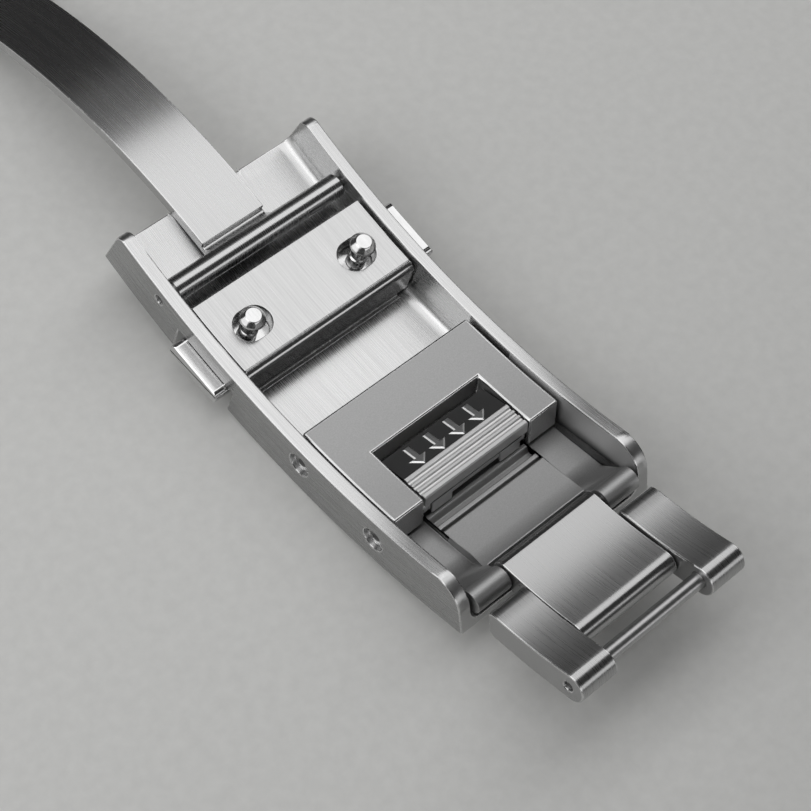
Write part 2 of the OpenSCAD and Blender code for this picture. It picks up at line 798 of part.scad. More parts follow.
// The adjuster slide: toothed rack, pad, low side wings and the knuckles of the link hinge
slide_bottom = floor_t + slide_play;
wing_end = 14;
tooth_depth = 0.55;
tooth_first = 5.2;
tooth_pitch = 1.15;

module rack_tooth_cut(a) {
    seat(-a, rack_h)
        across(-rack_w / 2 - 0.1, rack_w / 2 + 0.1)
            polygon([[-0.5, 0.1], [-0.35, -tooth_depth], [0.2, -tooth_depth], [0.5, 0.1]]);
}

module adjuster_slide() color("darkgray") {
    difference() {
        union() {
            sweep(-pad_a1 - lap_a, -rack_end)
                band(slide_bottom, rack_h, -rack_w / 2, rack_w / 2);
            sweep(-pad_a2, -pad_a1)
                band(slide_bottom, pad_h, -rack_w / 2, rack_w / 2);
            sweep(-wing_end, -rack_end - wing_step)
                bands(slide_bottom + floor_fillet * 0.3, wing_h, rack_w / 2 - 0.1, wing_w / 2);
            for (s = [-1, 1])
                translate([s * knuckle_mid, 0, 0]) {
                    at(link_p)
                        rod(-knuckle_len / 2, knuckle_len / 2, knuckle_d);
                    across(-knuckle_len / 2, knuckle_len / 2)
                        polygon([on_arc(-wing_end + 0.2, slide_bottom + floor_fillet * 0.3),
                            on_arc(-wing_end + 0.2, wing_h), on_arc(-link_a + 0.85, link_h + 0.4), link_p,
                            on_arc(-link_a + 0.6, link_h - knuckle_d * 0.36)]);
                }
        }
        for (i = [0:rack_teeth - 1])
            rack_tooth_cut(tooth_first + i * tooth_pitch);
        at(link_p)
            rod(-slide_pin_len / 2 - pin_play, slide_pin_len / 2 + pin_play, link_pin_d + 2 * pin_play);
    }
}

knuckle_in = centre_w / 2 + link_play + link_shift;
knuckle_out = wing_w / 2;
knuckle_len = knuckle_out - knuckle_in;
knuckle_mid = (knuckle_in + knuckle_out) / 2;
slide_pin_len = wing_w - 1;

module slide_pin() color("gainsboro") {
    at(link_p)
        soft_rod(-slide_pin_len / 2, slide_pin_len / 2, link_pin_d, 0.1);
}

// Places its children at a point, sloped like a link
module sloped(p, slope) {
    at(p)
        rotate([-slope, 0, 0])
            children();
}

// The centre link, a plate with rounded ends
module centre_link() color("silver") {
    sloped(link_p, centre_tilt)
        difference() {
            across(-centre_w / 2 - link_shift, centre_w / 2 - link_shift)
                union() {
                    circle(d = centre_t);
                    translate([-centre_len, 0])
                        circle(d = centre_t);
                    translate([-centre_len, -centre_t / 2])
                        square([centre_len, centre_t]);
                }
            rod(-half_w, half_w, link_pin_d + 2 * pin_play);
            translate([0, -side_at, 0])
                rod(-half_w, half_w, link_pin_d + 2 * pin_play);
        }
}

// The side links, closed on their outer faces except for the bar's end
side_in = centre_w / 2 + link_play;
link_pin_len = links_w - 2 * link_pin_inset;
near_r = 0.4;
bar_end_d = bar_d - 0.5;

module side_link() {
    sloped(side_p, side_tilt)
        difference() {
            across(side_in, links_w / 2)
                union() {
                    polygon([[side_near - near_r, -side_t / 2 + 0.3], [side_near, -side_t / 2 + near_r + 0.3],
                        [side_near, side_t / 2 - near_r], [side_near - near_r * 0.3, side_t / 2 - near_r * 0.3],
                        [side_near - near_r, side_t / 2], [-side_far, side_t / 2], [-side_far, -side_t / 2],
                        [0, -side_t / 2]]);
                    translate([-side_far, 0])
                        circle(side_end_r);
                }
            rod(0, link_pin_len / 2 + pin_hold, link_pin_d + 2 * pin_hold);
            translate([0, -side_far, 0]) {
                rod(0, bar_seat, bar_d + 2 * pin_hold);
                rod(0, half_w, bar_end_d + 2 * pin_hold);
            }
        }
}

bar_seat = side_in + 1;

// Moves its children to the left by the links' side play
module shifted() {
    translate([-link_shift, 0, 0])
        children();
}

module right_side_link() color("silver")
    shifted()
        side_link();

module left_side_link() color("silver")
    shifted()
        mirror([1, 0, 0])
            side_link();

module link_pin() color("gainsboro") {
    shifted()
        at(side_p)
            soft_rod(-link_pin_len / 2, link_pin_len / 2, link_pin_d, 0.1);
}

module bracelet_bar() color("gainsboro") {
    shifted()
        at(bar_p) {
            soft_rod(-bar_seat, bar_seat, bar_d, 0.08);
            soft_rod(0.15 - links_w / 2, links_w / 2 - 0.15, bar_end_d, 0.12);
        }
}

module placed() {
    translate([0, -middle_y, 0])
        children();
}

placed() clasp_cover();
placed() cover_hinge_pin();
placed() hinge_blade();
placed() fold_pin();
placed() latch_blade();
placed() blade_spring_bar();
placed() latch_housing();
placed() left_pusher();
placed() right_pusher();
placed() left_stud();
placed() right_stud();
placed() pusher_spring();
placed() adjuster_frame();
placed() frame_pin();
placed() button_pin();
placed() release_button();
placed() button_spring();
placed() adjuster_slide();
placed() slide_pin();
placed() centre_link();
placed() left_side_link();
placed() right_side_link();
placed() link_pin();
placed() bracelet_bar();
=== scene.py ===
import math

import bmesh
import bpy
from mathutils import Matrix, Vector


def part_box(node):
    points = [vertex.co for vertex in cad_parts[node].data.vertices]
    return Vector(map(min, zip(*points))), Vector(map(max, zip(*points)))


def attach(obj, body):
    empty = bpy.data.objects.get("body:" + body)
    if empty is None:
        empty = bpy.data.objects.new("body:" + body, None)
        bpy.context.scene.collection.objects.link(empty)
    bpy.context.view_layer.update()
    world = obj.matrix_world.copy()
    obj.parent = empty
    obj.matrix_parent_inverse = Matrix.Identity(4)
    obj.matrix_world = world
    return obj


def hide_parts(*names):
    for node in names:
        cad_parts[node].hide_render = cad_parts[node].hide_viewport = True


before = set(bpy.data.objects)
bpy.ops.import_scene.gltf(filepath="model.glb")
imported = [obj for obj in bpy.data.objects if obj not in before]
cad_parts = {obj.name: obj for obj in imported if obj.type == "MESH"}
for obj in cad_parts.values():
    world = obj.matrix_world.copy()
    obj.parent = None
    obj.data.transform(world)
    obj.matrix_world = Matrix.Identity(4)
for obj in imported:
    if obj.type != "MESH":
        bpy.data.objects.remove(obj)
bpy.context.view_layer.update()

# The camera stands above the left front corner and looks steeply down across the clasp, with the picture
# turned a little. A long lens is used, so that the two walls run nearly parallel.
camera_data = bpy.data.cameras.new("camera")
camera_data.sensor_fit = "HORIZONTAL"
camera_data.sensor_width = 36
camera_data.lens = 102.7
camera_data.clip_start = 0.01
camera_data.clip_end = 20
camera = bpy.data.objects.new("camera", camera_data)
bpy.context.scene.collection.objects.link(camera)
turn_left, look_down, camera_roll = math.radians(53.11), math.radians(57.72), math.radians(12.78)
back = Vector((-math.sin(turn_left) * math.cos(look_down), -math.cos(turn_left) * math.cos(look_down),
               math.sin(look_down)))
level = Vector((math.cos(turn_left), -math.sin(turn_left), 0))
upright = back.cross(level)
right = level * math.cos(camera_roll) + upright * math.sin(camera_roll)
above = back.cross(right)
camera_place = (-0.07990, -0.09500, 0.16144)
camera.matrix_world = Matrix.Translation(camera_place) @ Matrix((right, above, back)).transposed().to_4x4()
bpy.context.scene.camera = camera

# The cover: a channel bent from thick stainless steel strip and milled, then brushed along its length. Its
# long edges are eased and polished, which leaves a thin bright line along each, helped by a painted
# highlight.
MM = 0.001
# Radius in millimetres of the cover's outer face
COVER_RADIUS = 70.0


def linear(code):
    """A colour written as sRGB hex, as the linear numbers that a shader takes."""
    parts = [int(code[i:i + 2], 16) / 255 for i in (1, 3, 5)]
    return [p / 12.92 if p <= 0.04045 else ((p + 0.055) / 1.055) ** 2.4 for p in parts] + [1.0]


def add(tree, kind, inputs=None, **settings):
    """Adds a node with its settings; an input is a value or another node's output."""
    made = tree.nodes.new(kind)
    for key, value in settings.items():
        setattr(made, key, value)
    for key, value in (inputs or {}).items():
        if isinstance(value, bpy.types.NodeSocket):
            tree.links.new(value, made.inputs[key])
        else:
            made.inputs[key].default_value = value
    return made


def start_material(name):
    """A material with no nodes yet, and its node tree."""
    material = bpy.data.materials.new(name)
    material.use_nodes = True
    material.node_tree.nodes.clear()
    return material, material.node_tree


def settle(piece):
    """Turns the modifiers of a piece into plain mesh."""
    piece.data = bpy.data.meshes.new_from_object(piece.evaluated_get(bpy.context.evaluated_depsgraph_get()))
    piece.modifiers.clear()


# Corners this close, in millimetres, are merged, and faces that meet this flatly, in degrees, become one
WELD_REACH, FLAT_ANGLE = 0.002, 0.9
# Edges that turn by more than EASE_ANGLE degrees are eased. Of those that are left, the ones that turn by
# more than SHARP_ANGLE stay sharp
EASE_ANGLE, SHARP_ANGLE = 50, 32


def dress(node, material, body, ease, reshape=None, edge=None):
    """A merged copy of a CAD node, its edges eased by so many millimetres, which stands for the node."""
    piece = bpy.data.objects.new(node + "_dressed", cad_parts[node].data.copy())
    bpy.context.scene.collection.objects.link(piece)
    piece.data.materials.clear()
    piece.data.materials.append(material)
    if edge:
        piece.data.materials.append(edge)
    weld = piece.modifiers.new("weld", "WELD")
    weld.merge_threshold = WELD_REACH * MM
    flat = piece.modifiers.new("flat", "DECIMATE")
    flat.decimate_type = "DISSOLVE"
    flat.angle_limit = math.radians(FLAT_ANGLE)
    settle(piece)
    if reshape:
        reshape(piece.data)
    piece.data.polygons.foreach_set("use_smooth", [True] * len(piece.data.polygons))
    if ease:
        bevel = piece.modifiers.new("ease", "BEVEL")
        bevel.width = ease * MM
        bevel.segments = 2
        bevel.limit_method = "ANGLE"
        bevel.angle_limit = math.radians(EASE_ANGLE)
        bevel.use_clamp_overlap = False
        bevel.material = 1 if edge else -1
        bevel.face_strength_mode = "FSTR_ALL"
        settle(piece)
    piece.data.set_sharp_from_angle(angle=math.radians(SHARP_ANGLE))
    level = piece.modifiers.new("level", "WEIGHTED_NORMAL")
    level.weight = 50
    level.keep_sharp = True
    level.use_face_influence = True
    settle(piece)
    piece.data.name = node + "_dressed"
    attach(piece, body)
    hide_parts(node)


# Places on the cover, for the patterns: where a point lies among the brushing lines, the direction across
# them, how far the brush reaches it, and its length along the cover's curve in millimetres
places = bpy.data.node_groups.new("places_on_cover", "ShaderNodeTree")
for name, kind in (("Brushing", "NodeSocketVector"), ("Across", "NodeSocketVector"),
                   ("Brushed", "NodeSocketFloat"), ("Length", "NodeSocketFloat")):
    places.interface.new_socket(name, in_out="OUTPUT", socket_type=kind)
# The curve's centre is found from the adjuster frame's edge, so many millimetres high and degrees past it
FRAME_TOP, FRAME_EDGE = 4.7, 0.25
frame_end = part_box("adjuster_frame")[1].y
arc_y = frame_end - (COVER_RADIUS - FRAME_TOP) * MM * math.sin(math.radians(FRAME_EDGE))
spot = add(places, "ShaderNodeTexCoord")
split = add(places, "ShaderNodeSeparateXYZ", {0: spot.outputs["Object"]})
y_off = add(places, "ShaderNodeMath", {0: split.outputs["Y"], 1: arc_y}, operation="SUBTRACT")
z_off = add(places, "ShaderNodeMath", {0: COVER_RADIUS * MM, 1: split.outputs["Z"]}, operation="SUBTRACT")
arc_spot = add(places, "ShaderNodeCombineXYZ", {"Y": y_off.outputs[0], "Z": z_off.outputs[0]})
radius = add(places, "ShaderNodeVectorMath", {0: arc_spot.outputs[0]}, operation="LENGTH")
height = add(places, "ShaderNodeMath", {0: radius.outputs["Value"], 1: -1 / MM, 2: COVER_RADIUS},
             operation="MULTIPLY_ADD")
angle = add(places, "ShaderNodeMath", {0: y_off.outputs[0], 1: z_off.outputs[0]}, operation="ARCTAN2")
length = add(places, "ShaderNodeMath", {0: angle.outputs[0], 1: COVER_RADIUS}, operation="MULTIPLY")
across = add(places, "ShaderNodeMath", {0: split.outputs["X"], 1: 1 / MM}, operation="MULTIPLY")
# Brushing lines are 0.1 mm apart, twice as coarse as on the real clasp so that they show, and 7 mm long
LINE_GAP, LINE_LENGTH = 0.1, 7
counted = []
for distance, size in ((across, LINE_GAP), (length, LINE_LENGTH), (height, LINE_GAP)):
    count = add(places, "ShaderNodeMath", {0: distance.outputs[0], 1: 1 / size}, operation="MULTIPLY")
    counted.append(count.outputs[0])
brushing = add(places, "ShaderNodeCombineXYZ", dict(zip("XYZ", counted)))
along = add(places, "ShaderNodeCombineXYZ", {
    "Y": add(places, "ShaderNodeMath", {0: angle.outputs[0]}, operation="COSINE").outputs[0],
    "Z": add(places, "ShaderNodeMath", {0: angle.outputs[0]}, operation="SINE").outputs[0]})
crossing = add(places, "ShaderNodeVectorMath", {0: spot.outputs["Normal"], 1: along.outputs[0]},
               operation="CROSS_PRODUCT")
across_world = add(places, "ShaderNodeVectorTransform", {0: crossing.outputs[0]}, vector_type="VECTOR",
                   convert_from="OBJECT", convert_to="WORLD")
# The brush runs along the cover, so it reaches a face less as that turns to look along it
turned = add(places, "ShaderNodeVectorMath", {0: spot.outputs["Normal"], 1: along.outputs[0]},
             operation="DOT_PRODUCT")
turned_off = add(places, "ShaderNodeMath", {0: turned.outputs["Value"]}, operation="ABSOLUTE")
plain_end = add(places, "ShaderNodeMapRange", {0: turned_off.outputs[0], 1: 0.1, 2: 0.4, 3: 1.0, 4: 0.0})
add(places, "NodeGroupOutput", {"Brushing": brushing.outputs[0], "Across": across_world.outputs[0],
                                "Brushed": plain_end.outputs[0], "Length": length.outputs[0]})

# The noise of every finish keeps mostly between these two values, so its tones and its roughness run from
# one to the other
LOW, HIGH = 0.3, 0.7
# Stainless steel 316L, brushed along the length: lines of light that smear highlights across them
cover_steel, tree = start_material("brushed_cover_steel")
place = add(tree, "ShaderNodeGroup", node_tree=places)
scratches = add(tree, "ShaderNodeTexNoise", {
    "Vector": place.outputs["Brushing"], "Scale": 1.0, "Detail": 3.0, "Roughness": 0.6})
spot = add(tree, "ShaderNodeTexCoord")
split = add(tree, "ShaderNodeSeparateXYZ", {0: spot.outputs["Object"]})
side = add(tree, "ShaderNodeMath", {0: split.outputs["X"]}, operation="ABSOLUTE")
# Between the walls, a little thicker than WALL_SKIN, the brush reaches only as far as the window in the
# adjuster frame. From there on, the channel is left matt
WALL_SKIN, BRUSH_END = 1.1, -5.0
half_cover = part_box("clasp_cover")[1].x
outside = add(tree, "ShaderNodeMath", {0: side.outputs[0], 1: half_cover - WALL_SKIN * MM},
              operation="GREATER_THAN")
hinge_half = add(tree, "ShaderNodeMath", {0: place.outputs["Length"], 1: BRUSH_END},
                 operation="GREATER_THAN")
reached = add(tree, "ShaderNodeMath", {0: outside.outputs[0], 1: hinge_half.outputs[0]}, operation="MAXIMUM")
brushed = add(tree, "ShaderNodeMath", {0: place.outputs["Brushed"], 1: reached.outputs[0]},
              operation="MULTIPLY")
lines = add(tree, "ShaderNodeMix", {0: brushed.outputs[0], 2: 0.5, 3: scratches.outputs[0]})
tone = add(tree, "ShaderNodeValToRGB", {0: lines.outputs[0]})
tone.color_ramp.elements[0].position, tone.color_ramp.elements[0].color = LOW, linear("#bababa")
tone.color_ramp.elements[1].position, tone.color_ramp.elements[1].color = HIGH, linear("#cccccc")
# The flanks, the last few hundredths of a millimetre of the width, carry painted shade
FLANK_FROM, FLANK_FULL = 0.06, 0.03
flank = add(tree, "ShaderNodeMapRange", {
    0: side.outputs[0], 1: half_cover - FLANK_FROM * MM, 2: half_cover - FLANK_FULL * MM})
painted_flank_shade = add(tree, "ShaderNodeMix", {0: flank.outputs[0], 6: tone.outputs[0]}, data_type="RGBA",
           blend_type="MULTIPLY")
painted_flank_shade.inputs[7].default_value = linear("#d8d8d8")
brushed_rough = add(tree, "ShaderNodeMapRange", {0: lines.outputs[0], 1: LOW, 2: HIGH, 3: 0.24, 4: 0.3})
rough = add(tree, "ShaderNodeMix", {0: brushed.outputs[0], 2: 0.42, 3: brushed_rough.outputs[0]})
grain = add(tree, "ShaderNodeBump", {"Height": lines.outputs[0], "Strength": 0.12, "Distance": 0.004 * MM})
surface = add(tree, "ShaderNodeBsdfPrincipled", {
    "Base Color": painted_flank_shade.outputs[2], "Metallic": 1.0, "Roughness": rough.outputs[0], "Anisotropic": 0.8,
    "Normal": grain.outputs[0], "Tangent": place.outputs["Across"]})
add(tree, "ShaderNodeOutputMaterial", {"Surface": surface.outputs[0]})
# The eased edges are polished on a felt wheel, which leaves thin bright lines with only a faint haze
# Their colour, a little lighter than the faces beside them, is a painted highlight along those lines
edge_steel_with_painted_highlight, tree = start_material("polished_edge_steel_with_painted_highlight")
spot = add(tree, "ShaderNodeTexCoord")
# Patches of haze 0.8 mm wide
haze = add(tree, "ShaderNodeTexNoise", {"Vector": spot.outputs["Object"], "Scale": 1.2 / MM, "Detail": 2.0})
tone = add(tree, "ShaderNodeValToRGB", {0: haze.outputs[0]})
tone.color_ramp.elements[0].position, tone.color_ramp.elements[0].color = LOW, linear("#cccccc")
tone.color_ramp.elements[1].position, tone.color_ramp.elements[1].color = HIGH, linear("#d8d8d8")
rough = add(tree, "ShaderNodeMapRange", {0: haze.outputs[0], 1: LOW, 2: HIGH, 3: 0.22, 4: 0.3})
surface = add(tree, "ShaderNodeBsdfPrincipled", {
    "Base Color": tone.outputs[0], "Metallic": 1.0, "Roughness": rough.outputs[0]})
add(tree, "ShaderNodeOutputMaterial", {"Surface": surface.outputs[0]})

# Above this height in millimetres only the ends of the walls are left, and their step is smaller than this
WALL_END_HEIGHT, WALL_END_STEP = 7.0, 0.09


def blend_ends(mesh):
    """Closes the small step where the rounded ends of the walls meet their long upper faces."""
    shell = bmesh.new()
    shell.from_mesh(mesh)
    high = [vert for vert in shell.verts if vert.co.z > WALL_END_HEIGHT * MM]
    bmesh.ops.remove_doubles(shell, verts=high, dist=WALL_END_STEP * MM)
    shell.to_mesh(mesh)
    shell.free()


dress("clasp_cover", cover_steel, "cover", ease=0.12, reshape=blend_ends, edge=edge_steel_with_painted_highlight)

# The blades: two strips of spring-hard stainless steel, pressed to a curve and brushed along their length.
# The hinge blade ends in a rolled barrel, and the forked latch blade folds over it.
blade_steel, tree = start_material("brushed_blade_steel")
spot = add(tree, "ShaderNodeTexCoord")
crossing = add(tree, "ShaderNodeVectorMath", {0: spot.outputs["Normal"], 1: (0.0, 1.0, 0.0)},
               operation="CROSS_PRODUCT")
across_world = add(tree, "ShaderNodeVectorTransform", {0: crossing.outputs[0]}, vector_type="VECTOR",
                   convert_from="OBJECT", convert_to="WORLD")
# Lines 0.1 mm apart across, 8 mm long
stretch = add(tree, "ShaderNodeMapping", {
    "Vector": spot.outputs["Object"], "Scale": (10 / MM, 0.125 / MM, 0.125 / MM)})
lines = add(tree, "ShaderNodeTexNoise", {
    "Vector": stretch.outputs[0], "Scale": 1.0, "Detail": 3.0, "Roughness": 0.6})
tone = add(tree, "ShaderNodeValToRGB", {0: lines.outputs[0]})
tone.color_ramp.elements[0].position, tone.color_ramp.elements[0].color = LOW, linear("#b6b6b6")
tone.color_ramp.elements[1].position, tone.color_ramp.elements[1].color = HIGH, linear("#c0c0c0")
rough = add(tree, "ShaderNodeMapRange", {0: lines.outputs[0], 1: LOW, 2: HIGH, 3: 0.22, 4: 0.3})
grain = add(tree, "ShaderNodeBump", {"Height": lines.outputs[0], "Strength": 0.05, "Distance": 0.004 * MM})
surface = add(tree, "ShaderNodeBsdfPrincipled", {
    "Base Color": tone.outputs[0], "Metallic": 1.0, "Roughness": rough.outputs[0], "Anisotropic": 0.7,
    "Normal": grain.outputs[0], "Tangent": across_world.outputs[0]})
add(tree, "ShaderNodeOutputMaterial", {"Surface": surface.outputs[0]})
dress("hinge_blade", blade_steel, "first_blade", ease=0.12, edge=edge_steel_with_painted_highlight)
dress("latch_blade", blade_steel, "second_blade", ease=0.12, edge=edge_steel_with_painted_highlight)

# The latch housing: a milled block of stainless steel, brushed along the clasp, with its upper edges rounded
# and polished. It is welded to the cover's floor.
housing_steel, tree = start_material("brushed_housing_steel")
place = add(tree, "ShaderNodeGroup", node_tree=places)
lines = add(tree, "ShaderNodeTexNoise", {
    "Vector": place.outputs["Brushing"], "Scale": 1.0, "Detail": 3.0, "Roughness": 0.6})
tone = add(tree, "ShaderNodeValToRGB", {0: lines.outputs[0]})
tone.color_ramp.elements[0].position, tone.color_ramp.elements[0].color = LOW, linear("#b4b4b4")
tone.color_ramp.elements[1].position, tone.color_ramp.elements[1].color = HIGH, linear("#c4c4c4")
rough = add(tree, "ShaderNodeMapRange", {0: lines.outputs[0], 1: LOW, 2: HIGH, 3: 0.2, 4: 0.28})
grain = add(tree, "ShaderNodeBump", {"Height": lines.outputs[0], "Strength": 0.1, "Distance": 0.004 * MM})
surface = add(tree, "ShaderNodeBsdfPrincipled", {
    "Base Color": tone.outputs[0], "Metallic": 1.0, "Roughness": rough.outputs[0], "Anisotropic": 0.8,
    "Normal": grain.outputs[0], "Tangent": place.outputs["Across"]})
add(tree, "ShaderNodeOutputMaterial", {"Surface": surface.outputs[0]})
dress("latch_housing", housing_steel, "cover", ease=0.08, edge=edge_steel_with_painted_highlight)

# The pushers and studs: turned and milled stainless steel, polished, with only a trace of grain left.
# The studs catch the latch blade and the pushers carry them inwards to let it go.
polished_steel, tree = start_material("polished_steel")
spot = add(tree, "ShaderNodeTexCoord")
# Traces of grain 0.25 mm apart and 1.1 mm long
stretch = add(tree, "ShaderNodeMapping", {
    "Vector": spot.outputs["Object"], "Scale": (4 / MM, 0.9 / MM, 4 / MM)})
haze = add(tree, "ShaderNodeTexNoise", {"Vector": stretch.outputs[0], "Scale": 1.0, "Detail": 2.0})
tone = add(tree, "ShaderNodeValToRGB", {0: haze.outputs[0]})
tone.color_ramp.elements[0].position, tone.color_ramp.elements[0].color = LOW, linear("#d0d0d0")
tone.color_ramp.elements[1].position, tone.color_ramp.elements[1].color = HIGH, linear("#dadada")
rough = add(tree, "ShaderNodeMapRange", {0: haze.outputs[0], 1: LOW, 2: HIGH, 3: 0.16, 4: 0.22})
surface = add(tree, "ShaderNodeBsdfPrincipled", {
    "Base Color": tone.outputs[0], "Metallic": 1.0, "Roughness": rough.outputs[0]})
add(tree, "ShaderNodeOutputMaterial", {"Surface": surface.outputs[0]})

# The pusher's upper face falls this much for each millimetre outwards
PUSHER_FALL = 0.14


def slope_outwards(mesh):
    """Lets the pusher's upper face fall a little from the wall outwards, as the polished one does."""
    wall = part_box("clasp_cover")[1].x
    heights = [v.co.z for v in mesh.vertices]
    middle = (min(heights) + max(heights)) / 2
    for vert in mesh.vertices:
        if abs(vert.co.x) > wall and vert.co.z > middle:
            vert.co.z -= PUSHER_FALL * (abs(vert.co.x) - wall)


dress("left_pusher", polished_steel, "left_push", ease=0.05, reshape=slope_outwards)
dress("right_pusher", polished_steel, "right_push", ease=0.05, reshape=slope_outwards)
dress("left_stud", polished_steel, "left_push", ease=0.05)
dress("right_stud", polished_steel, "right_push", ease=0.05)

# The adjuster frame and slide: stainless steel blasted with fine glass beads, which leaves it an even matt
# grey. The frame's bevels are cut bright afterwards and carry a painted highlight; the slide's edges are
# left matt.
blasted_steel, tree = start_material("bead_blasted_steel")
spot = add(tree, "ShaderNodeTexCoord")
# Bead marks 0.1 mm wide
marks = add(tree, "ShaderNodeTexNoise", {"Vector": spot.outputs["Object"], "Scale": 10 / MM, "Detail": 2.0})
tone = add(tree, "ShaderNodeValToRGB", {0: marks.outputs[0]})
tone.color_ramp.elements[0].position, tone.color_ramp.elements[0].color = LOW, linear("#acacac")
tone.color_ramp.elements[1].position, tone.color_ramp.elements[1].color = HIGH, linear("#b8b8b8")
grain = add(tree, "ShaderNodeBump", {"Height": marks.outputs[0], "Strength": 0.25, "Distance": 0.006 * MM})
surface = add(tree, "ShaderNodeBsdfPrincipled", {
    "Base Color": tone.outputs[0], "Metallic": 1.0, "Roughness": 0.5, "Normal": grain.outputs[0]})
add(tree, "ShaderNodeOutputMaterial", {"Surface": surface.outputs[0]})
dress("adjuster_frame", blasted_steel, "cover", ease=0.22, edge=edge_steel_with_painted_highlight)
dress("adjuster_slide", blasted_steel, "slide", ease=0.1)

# The release button: a pressed stainless part, dark grey on the ramp that the thumb meets and light grey on
# the ribs at its lip.
button_steel, tree = start_material("dark_button_steel")
place = add(tree, "ShaderNodeGroup", node_tree=places)
spot = add(tree, "ShaderNodeTexCoord")
marks = add(tree, "ShaderNodeTexNoise", {"Vector": spot.outputs["Object"], "Scale": 10 / MM, "Detail": 2.0})
# The ribs lie between these lengths along the cover, in millimetres, with three grooves between them, one of
# them at GROOVE_AT. Each has a painted highlight to GROOVE_MIDDLE from its middle, and none from GROOVE_EDGE
# on
RIBS_FROM, RIBS_TO = -8.55, -10.9
GROOVE_AT, GROOVE_PITCH, GROOVE_MIDDLE, GROOVE_EDGE = -9.208, 0.686, 0.03, 0.055
rib = add(tree, "ShaderNodeMapRange", {
    0: place.outputs["Length"], 1: RIBS_FROM, 2: RIBS_FROM - 0.1, 3: 0.0, 4: 1.0})
ribbed_length = add(tree, "ShaderNodeMath", {0: place.outputs["Length"], 1: RIBS_TO}, operation="MAXIMUM")
groove_at = add(tree, "ShaderNodeMath", {0: ribbed_length.outputs[0], 1: -GROOVE_AT}, operation="ADD")
groove_step = add(tree, "ShaderNodeMath", {0: groove_at.outputs[0], 1: GROOVE_PITCH / 2},
                  operation="PINGPONG")
groove_highlight = add(tree, "ShaderNodeMapRange", {
    0: groove_step.outputs[0], 1: GROOVE_MIDDLE, 2: GROOVE_EDGE, 3: 1.0, 4: 0.0})
# The grooves are painted near white, a painted highlight on the ribbed lip
ribs_with_groove_highlights = add(tree, "ShaderNodeMix", {0: groove_highlight.outputs[0]}, data_type="RGBA")
ribs_with_groove_highlights.inputs[6].default_value, ribs_with_groove_highlights.inputs[7].default_value = linear("#d2d2d2"), linear("#f4f4f4")
tone = add(tree, "ShaderNodeMix", {0: rib.outputs[0], 7: ribs_with_groove_highlights.outputs[2]}, data_type="RGBA")
tone.inputs[6].default_value = linear("#565656")
rough = add(tree, "ShaderNodeMapRange", {0: marks.outputs[0], 1: LOW, 2: HIGH, 3: 0.4, 4: 0.5})
grain = add(tree, "ShaderNodeBump", {"Height": marks.outputs[0], "Strength": 0.2, "Distance": 0.005 * MM})
surface = add(tree, "ShaderNodeBsdfPrincipled", {
    "Base Color": tone.outputs[2], "Metallic": 1.0, "Roughness": rough.outputs[0],
    "Normal": grain.outputs[0]})
add(tree, "ShaderNodeOutputMaterial", {"Surface": surface.outputs[0]})
dress("release_button", button_steel, "button", ease=0.06)

# The press sign: a row of arrows embossed in the button's ramp by the same stroke that bends it. Their sides
# are painted near white, a painted highlight, and their flat tops are grey. Its sizes are in millimetres.
SIGN_COUNT, SIGN_PITCH, SIGN_HEIGHT = 4, 2.15, 2.3
SIGN_SHAFT, SIGN_HEAD, SIGN_HEAD_RUN = 0.62, 1.75, 0.95
SIGN_SINK, SIGN_RISE, SIGN_SIDE = 0.05, 0.09, 0.12
# The middle of the ramp's upper edge, its slope, and how far down the ramp the row's middle lies
ramp_top = Vector((0, -40.641, 5.027)) * MM
RAMP_SLOPE = math.radians(17.2)
SIGN_DOWN = 1.2
ramp_down = Vector((0, math.cos(RAMP_SLOPE), -math.sin(RAMP_SLOPE)))
ramp_out = Vector((0, math.sin(RAMP_SLOPE), math.cos(RAMP_SLOPE)))
sign_steel, tree = start_material("embossed_sign_steel")
spot = add(tree, "ShaderNodeTexCoord")
marks = add(tree, "ShaderNodeTexNoise", {"Vector": spot.outputs["Object"], "Scale": 10 / MM, "Detail": 2.0})
facing = add(tree, "ShaderNodeVectorMath", {0: spot.outputs["Normal"], 1: ramp_out}, operation="DOT_PRODUCT")
top_without_highlight = add(tree, "ShaderNodeMapRange", {0: facing.outputs["Value"], 1: 0.9, 2: 0.99})
# Sides near white, a painted highlight; flat tops grey
tone = add(tree, "ShaderNodeMix", {0: top_without_highlight.outputs[0]}, data_type="RGBA")
tone.inputs[6].default_value, tone.inputs[7].default_value = linear("#f4f4f4"), linear("#a8a8a8")
rough = add(tree, "ShaderNodeMapRange", {0: marks.outputs[0], 1: LOW, 2: HIGH, 3: 0.34, 4: 0.42})
surface = add(tree, "ShaderNodeBsdfPrincipled", {
    "Base Color": tone.outputs[2], "Metallic": 1.0, "Roughness": rough.outputs[0]})
add(tree, "ShaderNodeOutputMaterial", {"Surface": surface.outputs[0]})
shape = bmesh.new()
tip, tail = -SIGN_HEIGHT / 2, SIGN_HEIGHT / 2
outline = [(SIGN_SHAFT / 2, tail), (-SIGN_SHAFT / 2, tail), (-SIGN_SHAFT / 2, tip + SIGN_HEAD_RUN),
           (-SIGN_HEAD / 2, tip + SIGN_HEAD_RUN), (0, tip), (SIGN_HEAD / 2, tip + SIGN_HEAD_RUN),
           (SIGN_SHAFT / 2, tip + SIGN_HEAD_RUN)]
foot = shape.faces.new([shape.verts.new((u * MM, v * MM, -SIGN_SINK * MM)) for u, v in outline])
raised = bmesh.ops.extrude_face_region(shape, geom=[foot])
raised_verts = [g for g in raised["geom"] if isinstance(g, bmesh.types.BMVert)]
bmesh.ops.translate(shape, verts=raised_verts, vec=(0, 0, SIGN_SINK * MM))
bmesh.ops.recalc_face_normals(shape, faces=shape.faces[:])
upper = [f for f in shape.faces if all(v in raised_verts for v in f.verts)]
